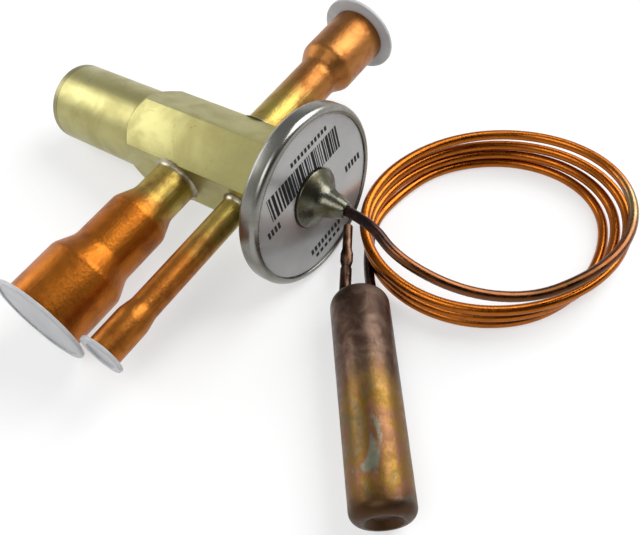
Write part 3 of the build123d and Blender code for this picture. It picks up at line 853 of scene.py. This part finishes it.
def printBlock(values, left, right, low, high):
    middle = ((left + right) / 2 * mm, (low + high) / 2 * mm, values["height"] * mm)
    bpy.ops.mesh.primitive_plane_add(size=1, location=middle)
    block = bpy.context.object
    block.scale = ((right - left) * mm, (high - low) * mm, 1)
    bpy.ops.object.transform_apply(location=True, rotation=False, scale=True)
    bpy.ops.object.mode_set(mode="EDIT")
    bpy.ops.mesh.select_all(action="SELECT")
    bpy.ops.mesh.extrude_region_move(TRANSFORM_OT_translate={"value": (0, 0, -values["depth"] * mm)})
    bpy.ops.mesh.select_all(action="SELECT")
    bpy.ops.mesh.normals_make_consistent(inside=False)
    bpy.ops.object.mode_set(mode="OBJECT")
    return block


def printLabel(values):
    deselect()
    chance = random.Random(values["seed"])
    blocks = []
    at, end = values["barsX"]
    while at < end:
        width = values["narrow"] * chance.choice(values["barWidths"])
        blocks.append(printBlock(values, at, min(at + width, end), *values["barsY"]))
        at += width + values["narrow"] * chance.choice(values["gapWidths"])
    for left, right, bottom, top, count in values["rows"]:
        pitch = (right - left) / count
        for step in range(count):
            start = left + step * pitch
            blocks.append(printBlock(values, start, start + pitch * values["dashShare"], bottom, top))
    deselect()
    for block in blocks:
        block.select_set(True)
    bpy.context.view_layer.objects.active = blocks[0]
    bpy.ops.object.join()
    piece = bpy.context.object
    piece.name = "labelInk"
    seat(piece, valvePlace)
    finishPiece(piece, ink, "valve", None)


printLabel(labelPrint)
print("label printed")

# The charging stub leaves the bulb's shoulder and is pinched flat between two heights.
bulb = {
    "outline": [(8.8, 0), (8.8, 69), (5.2, 69), (3.6, 67.2)],
    "rounds": {0: 5.4, 1: 3.4, 2: 0.9},
    "chargeFoot": (-10.80, -66.03, 8.8),
    "chargeHeading": 32.0,
    "charge": [(1.8, -1), (1.8, 9), (1.5, 9.6), (1.5, 10.2), (1.5, 12.0), (1.5, 15.0), (1.5, 16.8), (1.5, 26)],
    "chargeRounds": {7: 0.4},
    "pinch": (11.9, 15.1),
    "squeeze": (0.53, 1.3, 1),
}


def pinchTube(stem, values):
    choose(stem)
    bpy.ops.object.mode_set(mode="EDIT")
    mesh = bmesh.from_edit_mesh(stem.data)
    low, high = values["pinch"]
    for vert in mesh.verts:
        vert.select = low * mm < vert.co.z < high * mm
    bmesh.update_edit_mesh(stem.data)
    bpy.ops.transform.resize(value=values["squeeze"], center_override=(0, 0, (low + high) / 2 * mm))
    bpy.ops.mesh.select_all(action="DESELECT")
    bpy.ops.object.mode_set(mode="OBJECT")


def makeBulb(values):
    shell = turnOnLathe("sensingBulb", values["outline"], values["rounds"], False, 128, 10)
    seat(shell, bulbPlace)
    finishPiece(shell, bulbCopper, "valve", "bulb")
    stem = turnOnLathe("chargeTube", values["charge"], values["chargeRounds"], False, 48)
    pinchTube(stem, values)
    forward = flatDirection(values["chargeHeading"])
    seat(stem, frameMatrix(up, forward.cross(up), forward, values["chargeFoot"]))
    finishPiece(stem, chargeCopper, "valve", "bulb_charge_tube")
    return shell, stem


sensingBulb, chargeTube = makeBulb(bulb)
print("bulb made")

# The inner pieces stay as they were loaded and only take a material.
nodeMetals = {
    trimBrass: ["seal_plug", "spindle_gland", "adjusting_nut", "rod_guide", "pin_carrier"],
    toolSteel: ["adjusting_spindle", "superheat_spring", "orifice_seat", "valve_pin", "push_rod",
                "buffer_plate", "diaphragm"],
    softCopper: ["plug_gasket"],
    packingRubber: ["spindle_packing", "rod_packing"],
}
for material, names in nodeMetals.items():
    for name in names:
        for socket in bpy.data.objects[name].material_slots:
            socket.material = material
print("inner pieces finished")

# The shade darkens the sky on one side, above the horizon. Each lamp: direction, distance, size and power.
studio = {
    "floorSize": 6,
    "floorColour": 0.90,
    "floorWhite": 0.55,
    "horizon": 0.88,
    "zenith": 0.34,
    "skyHeights": (0.18, 0.36),
    "shade": 0.03,
    "shadeFrom": (0.15, -0.85, 0.45),
    "shadeReach": (0.35, 0.70),
    "shadeHeights": (0.20, 0.34),
    "lamps": [
        ("key", (0.62, -0.32, 0.70), 1.0, 0.75, 11.0),
        ("fill", (-0.55, -0.10, 0.85), 1.1, 0.60, 4.0),
        ("rim", (-0.20, 0.95, 0.45), 1.2, 0.70, 5.0),
    ],
}


# Seen directly or as a reflection, the floor is whiter than the light it throws on the part.
def makeFloor(values):
    deselect()
    bpy.ops.mesh.primitive_plane_add(size=values["floorSize"], location=(0, 0, 0))
    floor = bpy.context.object
    floor.name = "studioFloor"
    material, tree, shader = newMaterial("studioFloor")
    shader.inputs["Base Color"].default_value = (*grey(values["floorColour"]), 1)
    shader.inputs["Roughness"].default_value = 0.9
    path = tree.nodes.new("ShaderNodeLightPath")
    mirrored = calculate(tree, "MAXIMUM", path.outputs["Is Glossy Ray"], path.outputs["Is Transmission Ray"])
    seen = calculate(tree, "MAXIMUM", path.outputs["Is Camera Ray"], mirrored)
    glow = addNode(tree, "ShaderNodeEmission", Strength=1.0)
    mix = tree.nodes.new("ShaderNodeMixShader")
    tree.links.new(calculate(tree, "MULTIPLY", seen, values["floorWhite"]), mix.inputs[0])
    tree.links.new(shader.outputs[0], mix.inputs[1])
    tree.links.new(glow.outputs[0], mix.inputs[2])
    tree.links.new(mix.outputs[0], tree.nodes["Material Output"].inputs[0])
    floor.data.materials.append(material)


def makeSky(values):
    world = bpy.data.worlds.new("studioSky")
    world.use_nodes = True
    bpy.context.scene.world = world
    tree = world.node_tree
    direction = tree.nodes.new("ShaderNodeTexCoord").outputs["Generated"]
    height = axisValue(tree, direction, 2)
    skyLow, skyHigh = values["skyHeights"]
    sky = greyRamp(tree, height, (skyLow, values["horizon"]), (skyHigh, values["zenith"]))
    dot = tree.nodes.new("ShaderNodeVectorMath")
    dot.operation = "DOT_PRODUCT"
    tree.links.new(direction, dot.inputs[0])
    dot.inputs[1].default_value = Vector(values["shadeFrom"]).normalized()
    near, far = values["shadeReach"]
    low, high = values["shadeHeights"]
    aside = greyRamp(tree, dot.outputs["Value"], (near, 0), (far, 1))
    above = greyRamp(tree, height, (low, 0), (high, 1))
    dark = calculate(tree, "MULTIPLY", aside, above)
    background = tree.nodes["Background"]
    tree.links.new(mixColour(tree, dark, sky, grey(values["shade"])), background.inputs["Color"])
    background.inputs["Strength"].default_value = 1.0


def hangLamp(name, direction, distance, size, power):
    data = bpy.data.lights.new(name + "Lamp", "AREA")
    data.shape = "SQUARE"
    data.size = size
    data.energy = power
    lamp = bpy.data.objects.new(name + "Lamp", data)
    bpy.context.scene.collection.objects.link(lamp)
    aim = Vector(direction).normalized()
    lamp.location = aim * distance
    lamp.rotation_euler = aim.to_track_quat("Z", "Y").to_euler()


makeFloor(studio)
makeSky(studio)
for lamp in studio["lamps"]:
    hangLamp(*lamp)
bpy.context.scene.view_settings.view_transform = "Standard"
print("studio set")
